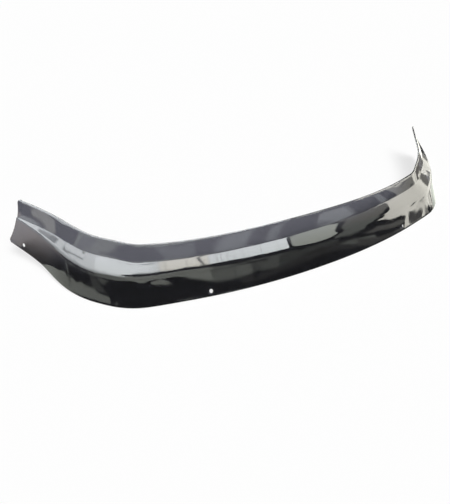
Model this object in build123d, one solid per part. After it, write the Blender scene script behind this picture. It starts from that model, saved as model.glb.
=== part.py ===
from build123d import *
import os
from bisect import bisect_right
from math import cos, radians, sin, sqrt, tan

# Hood bug deflector: one sheet of smoked acrylic, heat-formed and trimmed.
# X runs along the hood's front edge, the front faces -Y and Z is up.
# The part is the same on both sides of X = 0, and it rests on its bottom edge.
# A section has three flats: the face over the hood's nose, the shelf on top of
# the hood, and the lip that stands up into the air stream. A narrow rim curls
# back along the lip's top.

# Sheet
SHEET = 3.0             # thickness

# Plan of the crease between shelf and lip, as runs along it from X = 0
FRONT_RUN = 411.0       # gently curved front, to where the first corner bend starts
FRONT_TURN = 13.1       # degrees that the front's curve turns
INNER_BEND_RUN = 60.0   # first corner bend
INNER_BEND_TURN = 21.1  # degrees
CORNER_RUN = 29.0       # between the two corner bends
OUTER_BEND_RUN = 110.0  # second corner bend
OUTER_BEND_TURN = 22.9  # degrees
WING_RUN = 92.0         # from the second bend to the tip
WING_UNBEND = 4.1       # degrees that the wing turns back again by its tip
FRONT_EASE = 75.0       # the front's section starts to change this far before the bend

# Places that follow from the runs
INNER_BEND_AT = FRONT_RUN + INNER_BEND_RUN / 2
OUTER_BEND_START = FRONT_RUN + INNER_BEND_RUN + CORNER_RUN
OUTER_BEND_AT = OUTER_BEND_START + OUTER_BEND_RUN / 2
OUTER_BEND_END = OUTER_BEND_START + OUTER_BEND_RUN
WING_TIP = OUTER_BEND_END + WING_RUN

# Section sizes at five stations: middle, front, corner, wing and tip
STATIONS = [
    0.0,
    FRONT_RUN - FRONT_EASE,
    (INNER_BEND_AT + OUTER_BEND_AT) / 2,
    OUTER_BEND_END,
    WING_TIP,
]
LIP = [41.0, 36.0, 36.0, 34.0, 35.0]         # crease to the rim's top
LIP_RISE = [54.0, 45.0, 48.0, 44.0, 56.0]    # degrees from level, leaning back
SHELF = [30.0, 34.0, 39.0, 19.0, 4.0]        # bend to crease
SHELF_RISE = [16.0, 15.0, 15.0, 21.0, 23.0]  # degrees from level
FACE = [61.0, 58.0, 57.0, 59.0, 51.0]        # bottom edge to bend
FACE_LEAN = [51.0, 51.0, 40.0, 22.0, 35.0]   # degrees from upright
BEND_RADIUS = [30.0, 26.0, 20.0, 10.0, 7.0]  # front of the bend over the hood's nose
CREASE_RADIUS = 4.0     # front of the crease
RIM_RADIUS = 5.0        # front of the curled rim
RIM_TURN = 60.0         # degrees that the rim curls back

# Bottom edge: level along the front, rising under the wing
LIFT_RUN = 170.0        # length of crease over which it rises, up to the tip
TIP_LIFT = 27.0
LIFT_POWER = 1.3

# Trim of the wing's end
END_SCOOP_RADIUS = 100.0  # hollow curve that the end is cut to
END_SCOOP_DROP = 17.0     # deepest point of the hollow, below the crease
LIP_CORNER_RADIUS = 6.0
FACE_CORNER_RADIUS = 4.0

# Screw holes through the face, two each side
HOLE_DIAMETER = 8.5
HOLE_INSET = 10.0        # from the bottom edge
FRONT_HOLE_AT = 291.0    # along the crease from the middle
TIP_HOLE_INSET = 32.0    # along the crease from the wing's tip

# Forming
HALF_SECTIONS = 36       # evenly spaced sections each side of the middle one
OVERRUN = 20.0           # sheet formed past the tip and trimmed off
PLAN_STEP = 1.0          # step of the sum that follows the crease
SCOOP_REACH = LIP[-1] + SHELF[-1] + FACE[-1]  # half length of the tool that trims the end
TOOL_DEPTH = 4 * SHEET   # how far the other tools reach each side of the front
CORNER_CROSSING = 0.97   # pulls a corner's arc out a little, so it crosses both edges
CORNER_TRIES = 8         # rounds in which the place of a trimmed corner settles


def blend(sizes, s):
    """A section size at s along the crease: a smooth curve through the stations."""
    at = [-STATIONS[1]] + STATIONS
    size = [sizes[1]] + sizes
    s = min(abs(s), WING_TIP)
    slopes = [0.0]
    for i in range(1, len(at) - 1):
        slopes.append((size[i + 1] - size[i - 1]) / (at[i + 1] - at[i - 1]))
    last_slope = (size[-1] - size[-2]) / (at[-1] - at[-2])
    slopes.append(1.5 * last_slope - 0.5 * slopes[-1])
    i = min(bisect_right(at, s), len(at) - 1) - 1
    span = at[i + 1] - at[i]
    t = (s - at[i]) / span
    start = (2 * t**3 - 3 * t**2 + 1) * size[i] + (t**3 - 2 * t**2 + t) * span * slopes[i]
    end = (3 * t**2 - 2 * t**3) * size[i + 1] + (t**3 - t**2) * span * slopes[i + 1]
    return start + end


def smooth_step(s, middle, run):
    """0 before a bend, 1 after it, with no kink at either end."""
    t = min(max((s - middle) / run + 0.5, 0.0), 1.0)
    return t * t * (3 - 2 * t)


def heading(s):
    """Direction of the crease in plan, in degrees from +X, for s of 0 or more."""
    front = FRONT_TURN * min(s / INNER_BEND_AT, 1.0)
    inner = INNER_BEND_TURN * smooth_step(s, INNER_BEND_AT, INNER_BEND_RUN)
    outer = OUTER_BEND_TURN * smooth_step(s, OUTER_BEND_AT, OUTER_BEND_RUN)
    wing = WING_UNBEND * max(s - OUTER_BEND_AT, 0.0) / (WING_TIP - OUTER_BEND_AT)
    return front + inner + outer - wing


def follow_crease():
    """Plan points of the crease, one for each step along it, from the middle out."""
    points = [(0.0, 0.0)]
    steps = int((WING_TIP + OVERRUN) / PLAN_STEP) + 1
    for i in range(steps):
        turn = radians(heading((i + 0.5) * PLAN_STEP))
        x, y = points[-1]
        points.append((x + PLAN_STEP * cos(turn), y + PLAN_STEP * sin(turn)))
    return points


CREASE = follow_crease()


def section_plane(s):
    """Upright plane square to the crease: local X points out, local Y up."""
    side = -1 if s < 0 else 1
    whole = int(abs(s) / PLAN_STEP)
    part = abs(s) / PLAN_STEP - whole
    (x0, y0), (x1, y1) = CREASE[whole], CREASE[whole + 1]
    turn = radians(heading(abs(s)))
    return Plane(
        origin=(side * (x0 + (x1 - x0) * part), y0 + (y1 - y0) * part, 0),
        x_dir=(side * sin(turn), -cos(turn), 0),
        z_dir=(-cos(turn), -side * sin(turn), 0),
    )


def lift(s):
    """Height of the bottom edge above the ground."""
    rise = max(abs(s) - (WING_TIP - LIFT_RUN), 0.0) / LIFT_RUN
    return TIP_LIFT * rise**LIFT_POWER


def ray(angle):
    """Way that a flat runs in a section, from the bottom edge towards the lip."""
    return Vector(cos(radians(angle)), sin(radians(angle)))


def facing(angle):
    """Way that the front of such a flat faces."""
    return Vector(sin(radians(angle)), -cos(radians(angle)))


def flats(s):
    """Angles of face, shelf and lip in the section at s."""
    return 90 + blend(FACE_LEAN, s), 180 - blend(SHELF_RISE, s), 180 - blend(LIP_RISE, s)


def corners(s):
    """Front corner points of the section at s, from the bottom edge to the lip's
    top: edge, bend, crease and top. The crease lies on the plane's upright axis."""
    face_way, shelf_way, lip_way = flats(s)
    edge = Vector(0, lift(s) + SHEET / 2) + facing(face_way) * SHEET / 2
    bend = edge + ray(face_way) * blend(FACE, s)
    crease = bend + ray(shelf_way) * blend(SHELF, s)
    top = crease + ray(lip_way) * blend(LIP, s)
    shift = Vector(crease.X, 0)
    return edge - shift, bend - shift, crease - shift, top - shift


def bent_corner(corner, way_in, way_out, radius):
    """An arc between two flats: its centre, signed radius, and the two ways.
    The radius is positive where the front is on the outside of the bend."""
    sign = 1 if way_out > way_in else -1
    setback = radius * tan(radians(abs(way_out - way_in) / 2))
    start = corner - ray(way_in) * setback
    return start - facing(way_in) * sign * radius, sign * radius, way_in, way_out


def skin(bends, start, depth):
    """Points of one side of the sheet, depth behind its front: the start, then
    the start, middle and end of each bend."""
    points = [start - facing(bends[0][2]) * depth]
    for centre, radius, way_in, way_out in bends:
        for way in (way_in, (way_in + way_out) / 2, way_out):
            points.append(centre + facing(way) * (radius - depth))
    return points


def section(s):
    """Closed outline of the sheet at s, with polished round edges, as a face."""
    face_way, shelf_way, lip_way = flats(s)
    edge, bend, crease, top = corners(s)
    rim_start = top - ray(lip_way) * RIM_RADIUS * sin(radians(RIM_TURN))
    rim_centre = rim_start - facing(lip_way) * RIM_RADIUS
    rim_way = lip_way + RIM_TURN
    bends = [
        bent_corner(bend, face_way, shelf_way, blend(BEND_RADIUS, s)),
        bent_corner(crease, shelf_way, lip_way, CREASE_RADIUS),
        (rim_centre, RIM_RADIUS, lip_way, rim_way),
    ]
    front = skin(bends, edge, 0)
    back = skin(bends, edge, SHEET)
    outline = []
    for side in (front, back):
        for i in range(0, 3 * len(bends), 3):
            outline.append(Line(side[i], side[i + 1]))
            outline.append(ThreePointArc(side[i + 1], side[i + 2], side[i + 3]))
    bottom = (front[0] + back[0]) / 2 - ray(face_way) * SHEET / 2
    rim_end = (front[-1] + back[-1]) / 2 + ray(rim_way) * SHEET / 2
    outline.append(ThreePointArc(front[0], bottom, back[0]))
    outline.append(ThreePointArc(front[-1], rim_end, back[-1]))
    return section_plane(s) * make_face(outline)


def form_sheet():
    """The whole sheet, through evenly spaced sections from end to end."""
    step = (WING_TIP + OVERRUN) / HALF_SECTIONS
    return loft([section(step * i) for i in range(-HALF_SECTIONS, HALF_SECTIONS + 1)])


def scoop_plane():
    """Upright plane along the wing's tip, square to the tool that trims it."""
    tip = section_plane(WING_TIP)
    along = tip.z_dir * -1
    middle = corners(WING_TIP)[2].Y - END_SCOOP_DROP
    origin = tip.origin + along * END_SCOOP_RADIUS + Vector(0, 0, middle)
    return Plane(origin=origin, x_dir=along, z_dir=tip.x_dir)


def end_at(height):
    """Place along the crease where the trimmed end is, at a height."""
    off_middle = height - scoop_plane().origin.Z
    return WING_TIP + END_SCOOP_RADIUS - sqrt(END_SCOOP_RADIUS**2 - off_middle**2)


def end_corner(index):
    """Place along the crease where the trimmed end meets a corner of the section."""
    s = WING_TIP
    for _ in range(CORNER_TRIES):
        s = end_at(corners(s)[index].Y)
    return s


def corner_tool(index, way, radius):
    """Tool that rounds the corner between the trimmed end and an edge. index picks
    that edge in the section, and way is the way from it into the sheet."""
    s = end_corner(index)
    tip = corners(s)[index]
    inner = tip + way * radius
    corner = section_plane(s).from_local_coords(tip)
    on_edge = section_plane(s - radius).from_local_coords(corners(s - radius)[index])
    on_end = section_plane(end_at(inner.Y)).from_local_coords(inner)
    along_edge = on_edge - corner
    along_end = on_end - corner
    opening = radians(along_edge.get_angle(along_end))
    flat = Plane(origin=corner, x_dir=along_edge, z_dir=along_edge.cross(along_end))
    centre = Vector(radius / tan(opening / 2), radius) * CORNER_CROSSING
    past_edge = centre - Vector(0, 2 * radius)
    past_end = centre + Vector(-sin(opening), cos(opening)) * 2 * radius
    past_corner = Vector(cos(opening / 2), sin(opening / 2)) * -2 * radius
    block = make_face(Polyline(centre, past_edge, past_corner, past_end, close=True))
    spandrel = block - Pos(centre) * Circle(radius)
    return extrude(flat.offset(-TOOL_DEPTH) * spandrel, 2 * TOOL_DEPTH)


def end_tools():
    """Tools that trim the right wing's end and round its two corners."""
    face_way, _, lip_way = flats(WING_TIP)
    near = scoop_plane().offset(-SCOOP_REACH)
    return [
        extrude(near * Circle(END_SCOOP_RADIUS), 2 * SCOOP_REACH),
        corner_tool(-1, ray(lip_way) * -1, LIP_CORNER_RADIUS),
        corner_tool(0, ray(face_way), FACE_CORNER_RADIUS),
    ]


def hole_tool(s):
    """Drill through the face, square to it, at s along the crease."""
    plane = section_plane(s)
    face_way = flats(s)[0]
    at = corners(s)[0] + ray(face_way) * HOLE_INSET
    centre = plane.from_local_coords(at)
    out = plane.from_local_coords(at + facing(face_way)) - centre
    return Plane(origin=centre, z_dir=out) * Cylinder(HOLE_DIAMETER / 2, 2 * TOOL_DEPTH)


def make_deflector():
    tools = end_tools()
    for s in (FRONT_HOLE_AT, WING_TIP - TIP_HOLE_INSET):
        tools.append(hole_tool(s))
    deflector = form_sheet()
    for tool in tools:
        deflector -= tool
        deflector -= mirror(tool, Plane.YZ)
    return deflector


def stand(shape):
    """Move the part so that the middle of its footprint is the origin."""
    box = shape.bounding_box()
    return Pos(0, -(box.min.Y + box.max.Y) / 2, -box.min.Z) * shape


os.makedirs("parts", exist_ok=True)
deflector = stand(make_deflector())
export_step(deflector, "parts/deflector.step")
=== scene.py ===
from bisect import bisect_right
from math import atan2, cos, hypot, pi, radians, sin, sqrt, tan

import bmesh
import bpy
from mathutils import Matrix, Vector


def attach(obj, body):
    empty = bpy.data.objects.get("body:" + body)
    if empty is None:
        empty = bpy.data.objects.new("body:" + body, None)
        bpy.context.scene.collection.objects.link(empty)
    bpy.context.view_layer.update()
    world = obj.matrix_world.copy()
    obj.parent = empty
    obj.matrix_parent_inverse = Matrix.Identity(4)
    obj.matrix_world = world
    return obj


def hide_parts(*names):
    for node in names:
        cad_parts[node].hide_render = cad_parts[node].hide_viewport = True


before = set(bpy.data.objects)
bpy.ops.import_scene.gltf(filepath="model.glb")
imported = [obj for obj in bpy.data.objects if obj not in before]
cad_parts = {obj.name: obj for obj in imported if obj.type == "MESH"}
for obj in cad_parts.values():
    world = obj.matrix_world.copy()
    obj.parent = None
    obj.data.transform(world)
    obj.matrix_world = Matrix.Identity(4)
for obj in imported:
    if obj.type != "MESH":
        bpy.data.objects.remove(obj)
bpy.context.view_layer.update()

# Sizes of the CAD model, in mm and degrees. s is the distance along the crease from the
# middle of the sheet, and a list holds one value for each station.
SHEET = 3.0
FRONT_RUN = 411.0
FRONT_TURN = 13.1
INNER_BEND_RUN = 60.0
INNER_BEND_TURN = 21.1
CORNER_RUN = 29.0
OUTER_BEND_RUN = 110.0
OUTER_BEND_TURN = 22.9
WING_RUN = 92.0
WING_UNBEND = 4.1
FRONT_EASE = 75.0
INNER_BEND_AT = FRONT_RUN + INNER_BEND_RUN / 2
OUTER_BEND_START = FRONT_RUN + INNER_BEND_RUN + CORNER_RUN
OUTER_BEND_AT = OUTER_BEND_START + OUTER_BEND_RUN / 2
OUTER_BEND_END = OUTER_BEND_START + OUTER_BEND_RUN
WING_TIP = OUTER_BEND_END + WING_RUN
STATIONS = [
    0.0,
    FRONT_RUN - FRONT_EASE,
    (INNER_BEND_AT + OUTER_BEND_AT) / 2,
    OUTER_BEND_END,
    WING_TIP,
]
LIP = [41.0, 36.0, 36.0, 34.0, 35.0]
LIP_RISE = [54.0, 45.0, 48.0, 44.0, 56.0]
SHELF = [30.0, 34.0, 39.0, 19.0, 4.0]
SHELF_RISE = [16.0, 15.0, 15.0, 21.0, 23.0]
FACE = [61.0, 58.0, 57.0, 59.0, 51.0]
FACE_LEAN = [51.0, 51.0, 40.0, 22.0, 35.0]
BEND_RADIUS = [30.0, 26.0, 20.0, 10.0, 7.0]
CREASE_RADIUS = 4.0
RIM_RADIUS = 5.0
RIM_TURN = 60.0
LIFT_RUN = 170.0
TIP_LIFT = 27.0
LIFT_POWER = 1.3
END_SCOOP_RADIUS = 100.0
END_SCOOP_DROP = 17.0
LIP_CORNER_RADIUS = 6.0
FACE_CORNER_RADIUS = 4.0
HOLE_DIAMETER = 8.5
HOLE_INSET = 10.0
FRONT_HOLE_AT = 291.0
TIP_HOLE_INSET = 32.0

# Mesh, in mm and degrees
PER_METRE = 1000        # the scene is in metres
CREASE_SPARE = 60       # length of the crease's line past the tip
COLUMN_STEP = 3.5       # spacing of the sections along the crease
TIP_ZONE = 60.0         # length before the tip where the columns fan out to the trimmed end
TIP_COLUMNS = 24
TRIM_BEFORE = 20.0      # the search for the trimmed end starts this far before the tip
TRIM_SPAN = 55.0
TRIM_STEP = 0.5
CORNER_TRIES = 8        # rounds of the search for a corner's place along the crease
END_ROUND = SHEET / 2   # the trimmed end is polished to the same round as the long edges
END_RINGS = 5
FACE_STEPS, BEND_STEPS, SHELF_STEPS = 14, 12, 8
CREASE_STEPS, LIP_STEPS, RIM_STEPS = 8, 9, 8
EDGE_STEPS = 8
MERGE_DISTANCE = 1e-6   # in metres
DRILL_LENGTH = 12.0
DRILL_SEGMENTS = 64
SMOOTH_ANGLE = 35


def blend(sizes, s):
    """A size of the section at s, on a smooth curve through its values at the stations."""
    at = [-STATIONS[1]] + STATIONS
    size = [sizes[1]] + sizes
    s = min(abs(s), WING_TIP)
    slopes = [0.0]
    for i in range(1, len(at) - 1):
        slopes.append((size[i + 1] - size[i - 1]) / (at[i + 1] - at[i - 1]))
    # The curve ends without bending
    last_slope = (size[-1] - size[-2]) / (at[-1] - at[-2])
    slopes.append(1.5 * last_slope - 0.5 * slopes[-1])
    i = min(bisect_right(at, s), len(at) - 1) - 1
    span = at[i + 1] - at[i]
    t = (s - at[i]) / span
    start = (2 * t**3 - 3 * t**2 + 1) * size[i] + (t**3 - 2 * t**2 + t) * span * slopes[i]
    end = (3 * t**2 - 2 * t**3) * size[i + 1] + (t**3 - t**2) * span * slopes[i + 1]
    return start + end


def smooth_step(s, middle, run):
    """0 before the run and 1 after it."""
    t = min(max((s - middle) / run + 0.5, 0.0), 1.0)
    return t * t * (3 - 2 * t)


def heading(s):
    """Way of the crease at s, seen from above."""
    front = FRONT_TURN * min(s / INNER_BEND_AT, 1.0)
    inner = INNER_BEND_TURN * smooth_step(s, INNER_BEND_AT, INNER_BEND_RUN)
    outer = OUTER_BEND_TURN * smooth_step(s, OUTER_BEND_AT, OUTER_BEND_RUN)
    wing = WING_UNBEND * max(s - OUTER_BEND_AT, 0.0) / (WING_TIP - OUTER_BEND_AT)
    return front + inner + outer - wing


def follow_crease():
    """The crease seen from above, as points 1 mm apart."""
    points = [(0.0, 0.0)]
    for i in range(int(WING_TIP) + CREASE_SPARE):
        turn = radians(heading(i + 0.5))
        x, y = points[-1]
        points.append((x + cos(turn), y + sin(turn)))
    return points


CREASE = follow_crease()


def place(s, point):
    """A point of the right half's section at s, from section to model coordinates."""
    whole = int(s)
    part = s - whole
    (x0, y0), (x1, y1) = CREASE[whole], CREASE[whole + 1]
    turn = radians(heading(s))
    out, up = point
    x = x0 + (x1 - x0) * part + out * sin(turn)
    y = y0 + (y1 - y0) * part - out * cos(turn)
    return Vector((x, y, up))


def lift(s):
    """How far the section at s is raised towards the tip."""
    rise = max(s - (WING_TIP - LIFT_RUN), 0.0) / LIFT_RUN
    return TIP_LIFT * rise**LIFT_POWER


def ray(way):
    return Vector((cos(radians(way)), sin(radians(way))))


def facing(way):
    """The way that the front of a flat faces, when the flat itself runs this way."""
    return Vector((sin(radians(way)), -cos(radians(way))))


def flats(s):
    """Ways that the face, the shelf and the lip run at s, from the lower edge up."""
    return 90 + blend(FACE_LEAN, s), 180 - blend(SHELF_RISE, s), 180 - blend(LIP_RISE, s)


def corners(s):
    """Lower edge, bend, crease and rim of the section's front at s, before rounding."""
    face_way, shelf_way, lip_way = flats(s)
    edge = Vector((0, lift(s) + SHEET / 2)) + facing(face_way) * SHEET / 2
    bend = edge + ray(face_way) * blend(FACE, s)
    crease = bend + ray(shelf_way) * blend(SHELF, s)
    top = crease + ray(lip_way) * blend(LIP, s)
    shift = Vector((crease.x, 0))
    return edge - shift, bend - shift, crease - shift, top - shift


def arc(corner, way_in, way_out, radius, steps):
    """Front points of a bend, with the way that the surface runs at each."""
    sign = 1 if way_out > way_in else -1
    setback = radius * tan(radians(abs(way_out - way_in) / 2))
    centre = corner - ray(way_in) * setback - facing(way_in) * sign * radius
    points = []
    for i in range(steps + 1):
        way = way_in + (way_out - way_in) * i / steps
        points.append((centre + facing(way) * sign * radius, way))
    return points


def flat(start, end, way, steps):
    """Points inside a flat, without its two ends."""
    return [(start.lerp(end, i / steps), way) for i in range(1, steps)]


def front_points(s):
    """Points of the front at s, from the lower edge to the rim, with their ways."""
    face_way, shelf_way, lip_way = flats(s)
    edge, bend, crease, top = corners(s)
    bend_arc = arc(bend, face_way, shelf_way, blend(BEND_RADIUS, s), BEND_STEPS)
    crease_arc = arc(crease, shelf_way, lip_way, CREASE_RADIUS, CREASE_STEPS)
    rim_start = top - ray(lip_way) * RIM_RADIUS * sin(radians(RIM_TURN))
    rim_centre = rim_start - facing(lip_way) * RIM_RADIUS
    rim = []
    for i in range(RIM_STEPS + 1):
        way = lip_way + RIM_TURN * i / RIM_STEPS
        rim.append((rim_centre + facing(way) * RIM_RADIUS, way))
    points = [(edge, face_way)]
    points += flat(edge, bend_arc[0][0], face_way, FACE_STEPS)
    points += bend_arc
    points += flat(bend_arc[-1][0], crease_arc[0][0], shelf_way, SHELF_STEPS)
    points += crease_arc
    points += flat(crease_arc[-1][0], rim_start, lip_way, LIP_STEPS)
    points += rim
    return points


def edge_round(middle, way, side):
    """Points of the round along the rim (side 1) or the lower edge (side -1)."""
    pairs = []
    for i in range(1, EDGE_STEPS):
        turn = pi * i / EDGE_STEPS
        off = (facing(way) * cos(turn) + ray(way) * sin(turn)) * side
        pairs.append((middle + off * SHEET / 2, middle))
    return pairs


def outline(s):
    """The closed section at s as pairs: a point of its surface, and the point of the
    sheet's middle that it belongs to."""
    points = front_points(s)
    front, back = [], []
    for point, way in points:
        middle = point - facing(way) * SHEET / 2
        front.append((point, middle))
        back.append((middle - facing(way) * SHEET / 2, middle))
    rim = edge_round(front[-1][1], points[-1][1], 1)
    lower_edge = edge_round(front[0][1], points[0][1], -1)
    return front + rim + back[::-1] + lower_edge


# Trim of the wing's end
TIP_ALONG = Vector((cos(radians(heading(WING_TIP))), sin(radians(heading(WING_TIP))), 0))
TIP_ORIGIN = place(WING_TIP, (0, 0))
SCOOP_Z = corners(WING_TIP)[2].y - END_SCOOP_DROP


def end_at(height):
    """Where along the crease the hollow end lies at a height."""
    return WING_TIP + END_SCOOP_RADIUS - sqrt(END_SCOOP_RADIUS**2 - (height - SCOOP_Z) ** 2)


def scoop_depth(point):
    """How far a point is inside the hollow that the end is cut to."""
    along = (point - TIP_ORIGIN).dot(TIP_ALONG) - END_SCOOP_RADIUS
    return END_SCOOP_RADIUS - hypot(along, point.z - SCOOP_Z)


class Corner:
    """The round between the trimmed end and one of the sheet's long edges."""

    def __init__(self, index, way, radius):
        s = WING_TIP
        for _ in range(CORNER_TRIES):
            s = end_at(corners(s)[index].y)
        tip = corners(s)[index]
        inner = tip + way * radius
        self.origin = place(s, tip)
        self.x = (place(s - radius, corners(s - radius)[index]) - self.origin).normalized()
        on_end = place(end_at(inner.y), inner) - self.origin
        self.y = (on_end - self.x * on_end.dot(self.x)).normalized()
        opening = atan2(on_end.dot(self.y), on_end.dot(self.x))
        self.radius = radius
        self.centre = Vector((radius / tan(opening / 2), radius))
        self.end_normal = Vector((-sin(opening), cos(opening)))

    def depth(self, point):
        """How far a point is outside the round."""
        off = point - self.origin
        off = Vector((off.dot(self.x), off.dot(self.y))) - self.centre
        before_edge = off.x < 0
        before_end = off.dot(Vector((self.end_normal.y, -self.end_normal.x))) < 0
        if before_edge and before_end:
            return off.length - self.radius
        return -self.radius


def trimmed_ends():
    """For each point of the outline, the place along the crease where its line ends."""
    face_way, _, lip_way = flats(WING_TIP)
    rounds = [
        Corner(-1, ray(lip_way) * -1, LIP_CORNER_RADIUS),
        Corner(0, ray(face_way), FACE_CORNER_RADIUS),
    ]
    start = WING_TIP - TRIM_BEFORE
    ends = None
    before = None
    for i in range(int(TRIM_SPAN / TRIM_STEP)):
        s = start + i * TRIM_STEP
        depths = []
        for _, middle in outline(s):
            point = place(s, middle)
            depths.append(max(scoop_depth(point), *[corner.depth(point) for corner in rounds]))
        if ends is None:
            ends = [None] * len(depths)
        for j, depth in enumerate(depths):
            if ends[j] is None and depth > 0:
                share = 1.0 if before is None else -before[j] / (depth - before[j])
                ends[j] = s - TRIM_STEP * (1 - share)
        before = depths
    return ends


def half_columns():
    """Columns of points of the right half, from the middle to the trimmed end."""
    ends = trimmed_ends()
    columns = []
    zone = WING_TIP - TIP_ZONE
    count = round(zone / COLUMN_STEP)
    for i in range(count):
        s = zone * i / count
        columns.append([place(s, point) for point, _ in outline(s)])
    tip_places = []
    for i in range(TIP_COLUMNS + 1):
        tip_places.append((i / TIP_COLUMNS, 0.0))
    for i in range(1, END_RINGS + 1):
        tip_places.append((1.0, pi / 2 * i / END_RINGS))
    for t, turn in tip_places:
        column = []
        for j, end in enumerate(ends):
            s = zone + (end - END_ROUND - zone) * t + END_ROUND * sin(turn)
            point, middle = outline(s)[j]
            column.append(place(s, middle.lerp(point, cos(turn))))
        columns.append(column)
    return columns


def deflector_mesh():
    """The closed skin of the whole sheet, in metres."""
    right = half_columns()
    left = []
    for column in reversed(right[1:]):
        left.append([Vector((-p.x, p.y, p.z)) for p in column])
    columns = left + right
    rows = len(columns[0])
    verts = [p for column in columns for p in column]
    faces = []
    for i in range(len(columns) - 1):
        for j in range(rows):
            k = (j + 1) % rows
            faces.append((i * rows + j, i * rows + k, (i + 1) * rows + k, (i + 1) * rows + j))
    mesh = bpy.data.meshes.new("deflector_sheet")
    mesh.from_pydata([p / PER_METRE for p in verts], [], faces)
    bm = bmesh.new()
    bm.from_mesh(mesh)
    bmesh.ops.remove_doubles(bm, verts=bm.verts, dist=MERGE_DISTANCE)
    bmesh.ops.recalc_face_normals(bm, faces=bm.faces)
    bm.to_mesh(mesh)
    bm.free()
    return mesh


def fit_to_cad(mesh):
    """Sets the mesh where the CAD model is, and returns the shift in mm."""
    depths = [v.co.y for v in mesh.vertices]
    lowest = min(v.co.z for v in mesh.vertices)
    shift = Vector((0, -(min(depths) + max(depths)) / 2, -lowest))
    mesh.transform(Matrix.Translation(shift))
    return shift * PER_METRE


def add_object(name, data):
    added = bpy.data.objects.new(name, data)
    bpy.context.scene.collection.objects.link(added)
    return added


def mesh_from(bm, name):
    mesh = bpy.data.meshes.new(name)
    bm.to_mesh(mesh)
    bm.free()
    return mesh


sheet_mesh = deflector_mesh()
shift = fit_to_cad(sheet_mesh)
sheet = add_object("deflector_sheet", sheet_mesh)


def drill(target, s, side):
    """One screw hole through the face."""
    face_way = flats(s)[0]
    at = corners(s)[0] + ray(face_way) * HOLE_INSET - facing(face_way) * SHEET / 2
    centre = (place(s, at) + shift) / PER_METRE
    out = (place(s, at + facing(face_way)) + shift) / PER_METRE - centre
    centre.x *= side
    out.x *= side
    radius = HOLE_DIAMETER / 2 / PER_METRE
    bm = bmesh.new()
    bmesh.ops.create_cone(
        bm,
        cap_ends=True,
        segments=DRILL_SEGMENTS,
        radius1=radius,
        radius2=radius,
        depth=DRILL_LENGTH / PER_METRE,
    )
    turn = out.to_track_quat("Z", "Y").to_matrix().to_4x4()
    bm.transform(Matrix.Translation(centre) @ turn)
    tool = add_object("drill", mesh_from(bm, "drill"))
    cut = target.modifiers.new("drill", "BOOLEAN")
    cut.operation = "DIFFERENCE"
    cut.solver = "EXACT"
    cut.object = tool
    return tool


drills = []
for s in (FRONT_HOLE_AT, WING_TIP - TIP_HOLE_INSET):
    for side in (-1, 1):
        drills.append(drill(sheet, s, side))
bpy.context.view_layer.update()
drilled = sheet.evaluated_get(bpy.context.evaluated_depsgraph_get())
cut_mesh = bpy.data.meshes.new_from_object(drilled)
sheet.modifiers.clear()
sheet.data = cut_mesh
for tool in drills:
    bpy.data.objects.remove(tool)
for polygon in cut_mesh.polygons:
    polygon.use_smooth = True
cut_mesh.set_sharp_from_angle(angle=radians(SMOOTH_ANGLE))

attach(sheet, "root")
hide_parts("deflector")


class Tree:
    """Adds nodes to one node tree, and returns their outputs."""

    def __init__(self, node_tree):
        self.nodes = node_tree.nodes
        self.links = node_tree.links

    def feed(self, socket, value):
        if isinstance(value, tuple):
            socket.default_value = (*value, 1)
        elif isinstance(value, (int, float)):
            socket.default_value = value
        else:
            self.links.new(value, socket)

    def math(self, operation, *values):
        node = self.nodes.new("ShaderNodeMath")
        node.operation = operation
        for socket, value in zip(node.inputs, values):
            self.feed(socket, value)
        return node.outputs[0]

    def fade(self, value, start, end):
        """1 at start and 0 at end."""
        node = self.nodes.new("ShaderNodeMapRange")
        node.interpolation_type = "SMOOTHSTEP"
        self.feed(node.inputs["Value"], value)
        node.inputs["From Min"].default_value = start
        node.inputs["From Max"].default_value = end
        node.inputs["To Min"].default_value = 1
        node.inputs["To Max"].default_value = 0
        return node.outputs["Result"]

    def mix(self, factor, under, over, blend_type="MIX"):
        node = self.nodes.new("ShaderNodeMix")
        node.data_type = "RGBA"
        node.blend_type = blend_type
        self.feed(node.inputs[0], factor)
        self.feed(node.inputs[6], under)
        self.feed(node.inputs[7], over)
        return node.outputs[2]

    def mix_shaders(self, factor, under, over):
        node = self.nodes.new("ShaderNodeMixShader")
        for socket, value in zip(node.inputs, (factor, under, over)):
            self.feed(socket, value)
        return node.outputs[0]

    def separate(self, vector):
        node = self.nodes.new("ShaderNodeSeparateXYZ")
        self.feed(node.inputs[0], vector)
        return node.outputs

    def rays(self):
        """The kinds of ray, and 1 for mirrored rays alone: transmitted rays are glossy too."""
        kinds = self.nodes.new("ShaderNodeLightPath").outputs
        by_mirror = self.math("SUBTRACT", kinds["Is Glossy Ray"], kinds["Is Transmission Ray"])
        return kinds, by_mirror


def new_material(name):
    """An empty material, its tree, and the surface socket of its output."""
    material = bpy.data.materials.new(name)
    material.use_nodes = True
    tree = Tree(material.node_tree)
    tree.nodes.clear()
    return material, tree, tree.nodes.new("ShaderNodeOutputMaterial").inputs["Surface"]


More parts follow.
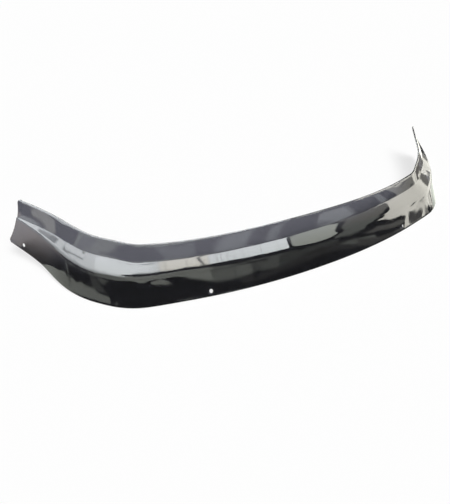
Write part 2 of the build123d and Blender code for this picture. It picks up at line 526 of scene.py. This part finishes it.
# Smoked acrylic. Scales are per metre and heights in metres. A noise is its scale, detail
# and roughness, and a range is where it fades from 1 to 0.
ACRYLIC_IOR = 1.49
DEEP_TINT, PALE_TINT = (0.108, 0.110, 0.131), (0.12, 0.122, 0.145)
TINT_NOISE, TINT_RANGE = (3.0, 2, 0.5), (0.3, 0.7)
EDGE_TINT, EDGE_HAZE = (0.15, 0.152, 0.17), 0.14
EDGE_RANGE = (0.6, 0.53)
GLOSS = 0.012
FILM_NOISE, FILM_RANGE, FILM_HAZE = (22.0, 5, 0.6), (0.65, 0.35), 0.02
SPECK_NOISE, SPECK_RANGE, SPECK_HAZE = (420.0, 1, 0.5), (0.78, 0.72), 0.05
WAVE_NOISE, WAVE_HEIGHT = (7.0, 1, 0.4), 0.00008
SKIN_NOISE, SKIN_HEIGHT = (300.0, 2, 0.5), 0.0000015


def smoked_acrylic():
    material, tree, surface = new_material("smoked_acrylic")
    feed, math, fade, mix = tree.feed, tree.math, tree.fade, tree.mix
    shader = tree.nodes.new("ShaderNodeBsdfPrincipled")
    feed(surface, shader.outputs["BSDF"])
    shader.inputs["Transmission Weight"].default_value = 1.0
    shader.inputs["IOR"].default_value = ACRYLIC_IOR
    place_on = tree.nodes.new("ShaderNodeTexCoord").outputs["Object"]

    def noise(scale, detail, roughness):
        node = tree.nodes.new("ShaderNodeTexNoise")
        feed(node.inputs["Vector"], place_on)
        node.inputs["Scale"].default_value = scale
        node.inputs["Detail"].default_value = detail
        node.inputs["Roughness"].default_value = roughness
        return node.outputs["Fac"]

    # The tint varies a little with the stretch of the sheet
    tint = mix(fade(noise(*TINT_NOISE), *TINT_RANGE), DEEP_TINT, PALE_TINT)
    # Sawn and scraped edges are paler and hazy
    pointiness = tree.nodes.new("ShaderNodeNewGeometry").outputs["Pointiness"]
    edge = fade(pointiness, *EDGE_RANGE)
    feed(shader.inputs["Base Color"], mix(edge, tint, EDGE_TINT))
    # Film of dust with wiped patches, and specks
    film = math("MULTIPLY", fade(noise(*FILM_NOISE), *FILM_RANGE), FILM_HAZE)
    specks = math("MULTIPLY", fade(noise(*SPECK_NOISE), *SPECK_RANGE), SPECK_HAZE)
    haze = math("ADD", math("ADD", film, specks), GLOSS)
    feed(shader.inputs["Roughness"], math("MAXIMUM", haze, math("MULTIPLY", edge, EDGE_HAZE)))
    # Slow waves left by heat forming, and a fine skin
    waves = math("MULTIPLY", noise(*WAVE_NOISE), WAVE_HEIGHT)
    skin = math("MULTIPLY", noise(*SKIN_NOISE), SKIN_HEIGHT)
    bump = tree.nodes.new("ShaderNodeBump")
    bump.inputs["Distance"].default_value = 1.0
    feed(bump.inputs["Height"], math("ADD", waves, skin))
    feed(shader.inputs["Normal"], bump.outputs[0])
    return material


sheet.data.materials.clear()
sheet.data.materials.append(smoked_acrylic())


# Floor. In the picture it is near white. The object mirrors a painted reflection on it, which
# glows for mirrored rays alone: pale at the left and in front, dark under the object and rose
# behind it, and bright in a band on the right. Places are in metres, and a range is where a
# look fades in.
FLOOR_HALF_SIZE = 20.0
FLOOR_DROP = 0.0002         # keeps the floor clear of the object's lower edge
FLOOR_WHITE = (0.95, 0.95, 0.95)
PALE_SHARE = 0.75           # share of the floor's look in the picture that takes no shadow
PALE = (1.98, 2.08, 1.86)
# Slope and offset of lines, and it is pale in front of any of them
PALE_LINES = [(0.404, 0.323), (0.155, 0.145), (0.122, 0.095)]
DARK = (0.08, 0.08, 0.07)
BEHIND, BEHIND_SLOPE, BEHIND_START, BEHIND_END = (2.1, 1.86, 1.7), 0.04, 0.075, 0.21
BAND, BAND_START, BAND_END = (4.4, 4.3, 3.9), (0.86, 0.78), (0.95, 1.15)
PAST_BAND = (0.4, 0.38, 0.33)


def pale_floor():
    material, tree, surface = new_material("pale_floor")
    math, fade, mix = tree.math, tree.fade, tree.mix
    position = tree.separate(tree.nodes.new("ShaderNodeNewGeometry").outputs["Position"])
    x, y = position[0], position[1]
    pale = 0
    for slope, offset in PALE_LINES:
        before = math("LESS_THAN", math("MULTIPLY_ADD", x, -slope, y), offset)
        pale = math("MAXIMUM", pale, before)
    before = fade(math("MULTIPLY_ADD", x, -BEHIND_SLOPE, y), BEHIND_START, BEHIND_END)
    left_look = mix(math("SUBTRACT", 1, before), DARK, BEHIND)
    left_look = mix(pale, left_look, PALE)
    right_look = mix(fade(x, *BAND_END), PAST_BAND, BAND)
    # Painted reflection: a glow that only mirrored rays see, in place of the lit floor
    mirrored = tree.nodes.new("ShaderNodeEmission")
    tree.feed(mirrored.inputs["Color"], mix(fade(x, *BAND_START), left_look, right_look))
    diffuse = tree.nodes.new("ShaderNodeBsdfDiffuse")
    tree.feed(diffuse.inputs["Color"], FLOOR_WHITE)
    white = tree.nodes.new("ShaderNodeEmission")
    kinds, by_mirror = tree.rays()
    white_share = math("MULTIPLY", kinds["Is Camera Ray"], PALE_SHARE)
    seen = tree.mix_shaders(white_share, diffuse.outputs[0], white.outputs[0])
    tree.feed(surface, tree.mix_shaders(by_mirror, seen, mirrored.outputs[0]))
    return material


bm = bmesh.new()
bmesh.ops.create_grid(bm, x_segments=1, y_segments=1, size=FLOOR_HALF_SIZE)
floor = add_object("floor", mesh_from(bm, "floor"))
floor.location.z = -FLOOR_DROP
floor.data.materials.append(pale_floor())

# Camera, fitted to the photo
AZIMUTH, ELEVATION, ROLL = radians(-37.37), radians(45.718), radians(12.097)
CAMERA_AT = (-0.6115, -0.56146, 0.6738)
LENS, SENSOR_WIDTH = 28.394, 36
CLIP_END = 100

back = Vector((sin(AZIMUTH) * cos(ELEVATION), -cos(AZIMUTH) * cos(ELEVATION), sin(ELEVATION)))
level = (-back).cross(Vector((0, 0, 1))).normalized()
above = level.cross(-back)
view_right = level * cos(ROLL) + above * sin(ROLL)
view_up = -level * sin(ROLL) + above * cos(ROLL)
camera_data = bpy.data.cameras.new("camera")
camera_data.lens = LENS
camera_data.sensor_width = SENSOR_WIDTH
camera_data.clip_end = CLIP_END
camera = add_object("camera", camera_data)
rows = zip(view_right, view_up, back, CAMERA_AT)
camera.matrix_world = Matrix([*rows, (0, 0, 0, 1)])
bpy.context.scene.camera = camera

# World. Matt surfaces are lit by a soft light overhead. Glossy ones mirror a dim
# workshop with a glazed roof, laid out on the plane one unit above the object:
# u is right over up, v is away over up.
ROOM = (0.06, 0.06, 0.05)
LOWEST = 0.02               # height of the lowest direction that has a place of its own
CURVE_MARGIN = 0.1          # room above and below a broken line on its curve
CURVE_GAP = 0.002           # smallest step along a curve
SOFT_LIGHT = (0.15, -0.05)  # its middle on that plane
SOFT_LIGHT_START, SOFT_LIGHT_END = 0.1, 0.65
SOFT_LIGHT_STRENGTH = 7.6
AMBIENT = 0.05
COOL = (0.97, 1.02, 1.02)
GREEN = (0.99, 1.04, 0.93)
WARM = (1.0, 0.98, 0.88)
ROSE = (1.0, 0.9, 0.83)
# Points round a pane, softness of its edge, strength, tint. Later panes cover earlier ones.
PANES = [
    # gap between the wall and the roof glass
    ([(-0.09, 0.0), (0.09, 0.04), (0.09, 0.12), (-0.09, 0.1)], 0.02, 4.0, GREEN),
    # sky behind and beside, for the curled rim
    ([(-1.39, -0.12), (-1.2, -0.2), (-0.6, -0.3), (-0.25, -0.3), (-0.02, 0.0), (-0.05, 0.3),
      (-1.4, 0.3)], 0.02, 6.0, COOL),
    ([(-0.75, 0.25), (0.62, 0.25), (0.95, 1.6), (-1.3, 1.6)], 0.06, 10.5, COOL),
    # sky on the left
    ([(-0.85, 0.62), (-0.6, 0.38), (-0.45, 0.22), (-0.3, 0.1), (-0.2, 0.03), (-0.1, -0.02),
      (0.0, 0.02), (0.012, 0.17), (0.02, 0.225), (-0.1, 0.225), (-0.15, 0.16), (-0.3, 0.26),
      (-0.42, 0.4), (-0.55, 0.56), (-0.85, 0.85)], 0.012, 10.5, COOL),
    ([(-1.2, 0.1), (-5.0, 0.3), (-5.0, 1.4), (-1.2, 0.75)], 0.05, 2.7, COOL),
    ([(-0.47, -0.26), (-0.3, -0.12), (-0.12, 0.03), (-0.3, 0.02), (-0.47, -0.16)],
      0.015, 6.0, COOL),
    ([(-1.25, -0.72), (-1.1, -0.56), (-0.9, -0.5), (-0.9, -0.7), (-1.1, -0.8)],
      0.03, 1.8, GREEN),
    # roof glass
    ([(-0.06, 0.19), (0.006, 0.176), (0.083, 0.167), (0.177, 0.1535), (0.249, 0.144),
      (0.268, 0.137), (0.28, 0.129), (0.286, 0.1225), (0.2865, 0.15), (0.252, 0.167),
      (0.196, 0.1745), (0.1, 0.187), (0.02, 0.215), (-0.06, 0.225)], 0.002, 13.2, COOL),
    ([(0.264, 0.145), (0.268, 0.137), (0.285, 0.1235), (0.345, 0.1035), (0.3455, 0.25),
      (0.264, 0.25)], 0.003, 12.4, WARM),
    ([(0.343, 0.104), (0.4, 0.089), (0.46, 0.06), (0.497, 0.03), (0.526, -0.096),
      (0.571, -0.126), (0.612, -0.18), (0.622, 0.05), (0.623, 0.3), (0.343, 0.3)],
      0.003, 12.6, COOL),
    # its shaded end
    ([(0.637, 0.3), (0.638, 0.07), (0.65, -0.2), (0.7, -0.34), (0.84, -0.58), (0.9, -0.63),
      (0.91, 0.077), (0.955, 0.104), (1.0, 0.3)], 0.004, 4.8, GREEN),
    ([(0.895, -0.6), (0.98, -0.7), (1.03, -0.68), (0.905, 0.073), (0.896, 0.073)],
      0.006, 4.4, GREEN),
    ([(0.957, 0.084), (1.05, 0.06), (1.2, 0.1), (1.222, 0.119), (1.261, 0.146), (1.293, 0.159),
      (1.325, 0.178), (1.33, 0.3), (1.014, 0.3), (1.012, 0.113)], 0.002, 1.35, WARM),
    ([(0.957, 0.09), (1.06, -0.56), (1.25, -0.945), (1.44, -0.94), (1.62, -0.9), (1.32, -0.33),
      (1.215, 0.12)], 0.012, 1.25, GREEN),
    # wall under the glass
    ([(-1.45, -1.07), (-1.2, -1.055), (-0.97, -1.01), (-0.786, -0.94), (-0.324, -0.71),
      (-0.25, -0.9), (-0.24, -0.1), (-0.52, -0.34), (-0.8, -0.53), (-1.4, -0.98)],
      0.02, 1.8, GREEN),
    ([(-1.66, -1.24), (-1.5, -1.175), (-1.35, -1.15), (-1.2, -1.117), (-1.1, -1.12),
      (-1.1, -1.135), (-1.3, -1.2), (-1.5, -1.25)], 0.01, 1.1, GREEN),
    ([(-0.25, -1.12), (-0.02, -1.115), (0.035, -1.07), (0.085, -1.0), (0.13, -0.935),
      (0.165, -0.892), (0.212, -0.885), (0.239, -0.883), (0.31, -0.89), (0.308, -0.16),
      (0.291, -0.06), (0.283, 0.03), (0.17, 0.07), (-0.097, 0.014), (-0.25, -0.12)],
      0.01, 2.5, GREEN),
    ([(0.078, -1.125), (0.1, -1.088), (0.12, -1.057), (0.15, -1.0), (0.168, -0.97),
      (0.172, -0.99), (0.15, -1.08), (0.12, -1.15)], 0.006, 2.5, GREEN),
    ([(0.3, -0.892), (0.43, -0.898), (0.425, -0.46), (0.332, -0.264), (0.3, -0.13)],
      0.012, 1.5, GREEN),
    ([(0.42, -0.898), (0.573, -0.91), (0.57, -0.68), (0.519, -0.606), (0.42, -0.445)],
      0.012, 1.6, GREEN),
    ([(0.56, -0.908), (0.721, -0.958), (0.72, -0.81), (0.676, -0.777), (0.56, -0.66)],
      0.012, 1.0, GREEN),
    ([(0.71, -0.955), (0.9, -0.99), (1.3, -0.985), (1.3, -0.955), (0.883, -0.934),
      (0.71, -0.8)], 0.012, 0.55, GREEN),
    ([(0.45, -0.935), (1.0, -1.02), (1.5, -1.03), (1.5, -0.96), (1.2, -0.98), (0.721, -0.958),
      (0.45, -0.9)], 0.012, 0.32, WARM),
    ([(1.3, -0.99), (1.46, -0.968), (1.74, -0.955), (1.78, -0.985), (1.5, -1.005)],
      0.006, 1.1, GREEN),
    ([(1.6, -0.94), (1.8, -0.9), (2.2, -0.925), (2.6, -0.99), (2.2, -0.96), (1.85, -0.935)],
      0.006, 0.9, WARM),
    ([(1.5, -1.02), (2.7, -1.07), (3.4, -1.3), (3.4, -1.27), (2.6, -1.0), (1.5, -0.97)],
      0.01, 0.55, WARM),
    ([(2.1, -0.985), (2.6, -1.035), (3.0, -1.12), (2.7, -1.02)], 0.01, 1.1, WARM),
    # glass on the right
    ([(1.27, 0.09), (1.288, -0.1), (1.765, -0.84), (2.0, -0.885), (2.24, -0.905),
      (2.43, -0.945), (2.45, -1.05), (2.65, -1.085), (2.65, 0.9), (1.36, 0.5), (1.292, 0.21),
      (1.286, 0.15)], 0.003, 7.0, WARM),
    ([(2.6, -1.08), (2.8, -1.135), (2.93, -1.18), (3.3, -1.262), (3.9, -1.36), (4.85, -1.49),
      (5.9, -1.56), (9.0, -1.95), (9.0, 1.6), (2.6, 0.9)], 0.02, 6.0, WARM),
    ([(2.53, -0.955), (2.6, -1.012), (2.75, -1.062), (2.92, -1.13), (3.05, -1.165),
      (3.3, -1.225), (3.3, -1.17), (3.1, -1.11), (2.8, -1.03), (2.65, -0.96), (2.56, -0.93)],
      0.01, 0.5, WARM),
    ([(1.95, 0.34), (2.03, 0.325), (2.25, 0.335), (2.6, 0.4), (3.0, 0.5), (4.6, 0.9),
      (4.6, 1.8), (1.96, 0.7)], 0.03, 1.2, WARM),
    ([(8.5, -1.9), (52.0, -6.4), (52.0, 2.0), (8.5, 1.5)], 0.1, 3.6, WARM),
    ([(2.9, -1.2), (2.92, -1.25), (3.1, -1.3), (3.9, -1.43), (5.2, -1.65), (5.2, -1.57),
      (3.1, -1.225)], 0.012, 1.7, WARM),
    # far wall on the left
    ([(-1.38, -1.09), (-1.411, -1.095), (-1.585, -1.14), (-2.05, -1.259), (-2.62, -1.337),
      (-3.54, -1.451), (-5.2, -1.662), (-5.2, -1.1), (-1.43, -1.03)], 0.006, 2.1, GREEN),
    ([(-5.1, -1.65), (-9.0, -2.295), (-22.0, -4.0), (-35.0, -5.45), (-52.0, -6.95),
      (-52.0, -1.4), (-5.1, -1.1)], 0.015, 2.1, GREEN),
    ([(-1.45, -1.12), (-1.75, -1.27), (-2.3, -1.38), (-2.3, -1.3), (-1.65, -1.17)],
      0.012, 0.6, GREEN),
    ([(-4.6, 1.4), (-4.6, -0.5), (-52.0, -5.9), (-52.0, 14.0)], 0.2, 2.3, ROSE),
    # lamps and openings that the lip mirrors
    ([(-1.52, -0.1), (-1.56, 0.06), (-2.75, 0.1), (-2.75, -0.06), (-2.3, -0.08)],
      0.04, 2.5, WARM),
    ([(-0.94, -0.7), (-1.2, -0.7), (-1.06, -0.88), (-0.94, -0.87)], 0.012, 1.3, COOL),
    ([(0.1, -1.12), (0.19, -1.12), (0.25, -1.26), (0.12, -1.26)], 0.02, 1.0, COOL),
    ([(0.3, -1.2), (0.5, -1.25), (0.75, -1.7), (0.6, -1.75), (0.4, -1.6)], 0.12, 1.8, COOL),
    ([(0.9, -1.9), (1.2, -1.9), (1.35, -2.2), (1.0, -2.2)], 0.15, 1.5, COOL),
    ([(2.35, -2.35), (3.2, -2.2), (3.2, -2.75), (2.4, -2.8)], 0.12, 1.9, COOL),
    ([(2.8, -1.44), (3.6, -1.44), (3.6, -1.56), (2.8, -1.56)], 0.02, 1.2, COOL),
]
# One end of a bar, its other end, half its width, share of light left
BARS = [
    ((0.314, 0.15), (0.335, 0.1), 0.0035, 0.15),
    ((0.306, -0.1), (0.2, -0.4), 0.006, 0.5),
    ((-0.8, -0.15), (0.2, -0.55), 0.02, 0.6),
    ((0.2, -0.55), (0.6, -0.85), 0.02, 0.6),
    ((0.24, -0.81), (0.45, -0.822), 0.012, 0.5),
    ((0.45, -0.822), (0.62, -0.87), 0.014, 0.3),
    ((0.33, -0.25), (0.45, -0.62), 0.03, 0.25),
    ((0.45, -0.62), (0.56, -0.93), 0.02, 0.45),
    ((-0.57, 0.48), (-0.425, 0.299), 0.006, 0.4),
    ((-0.425, 0.299), (-0.364, 0.234), 0.006, 0.3),
    ((-0.364, 0.234), (-0.213, 0.122), 0.003, 0.3),
    ((-0.213, 0.122), (-0.14, 0.09), 0.0016, 0.4),
    ((-0.14, 0.09), (-0.076, 0.077), 0.0018, 0.4),
    ((-0.076, 0.077), (-0.029, 0.084), 0.003, 0.4),
    ((-0.029, 0.084), (-0.03, 0.112), 0.004, 0.3),
    ((-0.03, 0.112), (-0.03, 0.15), 0.003, 0.6),
    ((1.8, 0.24), (2.0, 0.4), 0.004, 0.6),
    ((1.5, 0.17), (1.56, 0.24), 0.002, 0.5),
]
# Glazing bars of the roof glass
GLAZING = (0.246, 0.255, 0.262, 0.27, 0.288, 0.362, 0.375, 0.392, 0.412, 0.44, 0.5, 0.57)
GLAZING_FAR, GLAZING_NEAR, GLAZING_LEAN = 0.22, 0.05, 0.008
GLAZING_WIDTH, GLAZING_LEFT = 0.0013, 0.72
for u in GLAZING:
    ends = (u, GLAZING_FAR), (u + GLAZING_LEAN, GLAZING_NEAR)
    BARS.append((*ends, GLAZING_WIDTH, GLAZING_LEFT))

world = bpy.data.worlds.new("world")
bpy.context.scene.world = world
world.use_nodes = True
tree = Tree(world.node_tree)
feed, math, fade, mix = tree.feed, tree.math, tree.fade, tree.mix


def distance(u, v, way_u, way_v, offset):
    """Distance of a place on the plane from the line that crosses this way at an offset."""
    return math("MULTIPLY_ADD", u, way_u, math("MULTIPLY_ADD", v, way_v, -offset))


def chains(points):
    """The lower and the upper way round a pane, from its left end to its right end."""
    left, right = points.index(min(points)), points.index(max(points))
    ring = points[left:] + points[:left]
    turn = (right - left) % len(ring)
    one, other = ring[:turn + 1], [ring[0]] + ring[:turn - 1:-1]
    area = 0
    for (u0, v0), (u1, v1) in zip(ring, ring[1:] + ring[:1]):
        area += u0 * v1 - u1 * v0
    return (one, other) if area > 0 else (other, one)


def follow(u, chain):
    """v of a broken line at u."""
    start, end = chain[0][0], chain[-1][0]
    low = min(v for _, v in chain) - CURVE_MARGIN
    high = max(v for _, v in chain) + CURVE_MARGIN
    node = tree.nodes.new("ShaderNodeFloatCurve")
    curve = node.mapping.curves[0]
    while len(curve.points) < len(chain):
        curve.points.new(0.5, 0.5)
    last = -CURVE_GAP
    for point, (at, height) in zip(curve.points, chain):
        last = max((at - start) / (end - start), last + CURVE_GAP)
        point.location = (last, (height - low) / (high - low))
        point.handle_type = "VECTOR"
    node.mapping.update()
    share = math("MULTIPLY_ADD", u, 1 / (end - start), -start / (end - start))
    feed(node.inputs["Value"], share)
    return math("MULTIPLY_ADD", node.outputs[0], high - low, low)


def pane_mask(u, v, points, softness):
    """1 inside a pane that has one lower and one upper v at every u."""
    lower, upper = chains(points)
    above = math("SUBTRACT", v, follow(u, lower))
    below = math("SUBTRACT", follow(u, upper), v)
    depth = math("MINIMUM", above, below)
    from_left = math("SUBTRACT", u, lower[0][0])
    from_right = math("SUBTRACT", lower[-1][0], u)
    inside = math("MINIMUM", from_left, from_right)
    return math("MULTIPLY", fade(depth, softness, -softness), fade(inside, softness, 0))


def bar_mask(u, v, one_end, other_end, half_width):
    """1 on a bar."""
    (u0, v0), (u1, v1) = one_end, other_end
    length = hypot(u1 - u0, v1 - v0)
    way_u, way_v = (u1 - u0) / length, (v1 - v0) / length
    along = distance(u, v, way_u, way_v, way_u * (u0 + u1) / 2 + way_v * (v0 + v1) / 2)
    beside = distance(u, v, -way_v, way_u, -way_v * u0 + way_u * v0)
    ends = fade(math("ABSOLUTE", along), length / 2, length / 2 + half_width)
    sides = fade(math("ABSOLUTE", beside), half_width / 2, half_width * 3 / 2)
    return math("MULTIPLY", ends, sides)


direction = tree.separate(tree.nodes.new("ShaderNodeTexCoord").outputs["Generated"])
height = math("MAXIMUM", direction[2], LOWEST)
u = math("DIVIDE", direction[0], height)
v = math("DIVIDE", direction[1], height)
pattern = ROOM
for points, softness, strength, tint in PANES:
    light = tuple(strength * part for part in tint)
    pattern = mix(pane_mask(u, v, points, softness), pattern, light)
for one_end, other_end, half_width, left_over in BARS:
    mask = bar_mask(u, v, one_end, other_end, half_width)
    pattern = mix(mask, pattern, (left_over,) * 3, "MULTIPLY")
mirrored = tree.nodes.new("ShaderNodeBackground")
feed(mirrored.inputs["Color"], pattern)

overhead = math("GREATER_THAN", direction[2], 0)
off_u = math("SUBTRACT", u, SOFT_LIGHT[0])
off_v = math("SUBTRACT", v, SOFT_LIGHT[1])
off = math("SQRT", math("MULTIPLY_ADD", off_u, off_u, math("MULTIPLY", off_v, off_v)))
soft = math("MULTIPLY", fade(off, SOFT_LIGHT_START, SOFT_LIGHT_END), overhead)
soft = math("MULTIPLY_ADD", soft, SOFT_LIGHT_STRENGTH, AMBIENT)
# Camera and transmitted rays see white before their first matt bounce. Light that the
# floor would get through the sheet is left out, which keeps the sheet's shadow
kinds, by_mirror = tree.rays()
seen = math("MAXIMUM", kinds["Is Camera Ray"], kinds["Is Transmission Ray"])
direct = math("LESS_THAN", kinds["Diffuse Depth"], 0.5)
through = math("MULTIPLY", kinds["Is Transmission Ray"], math("SUBTRACT", 1, direct))
lit = mix(through, soft, (0.0, 0.0, 0.0))
plain = tree.nodes["Background"]
feed(plain.inputs["Color"], mix(math("MULTIPLY", seen, direct), lit, (1.0, 1.0, 1.0)))
both = tree.mix_shaders(by_mirror, plain.outputs[0], mirrored.outputs[0])
feed(tree.nodes["World Output"].inputs["Surface"], both)

bpy.context.scene.view_settings.view_transform = "Standard"
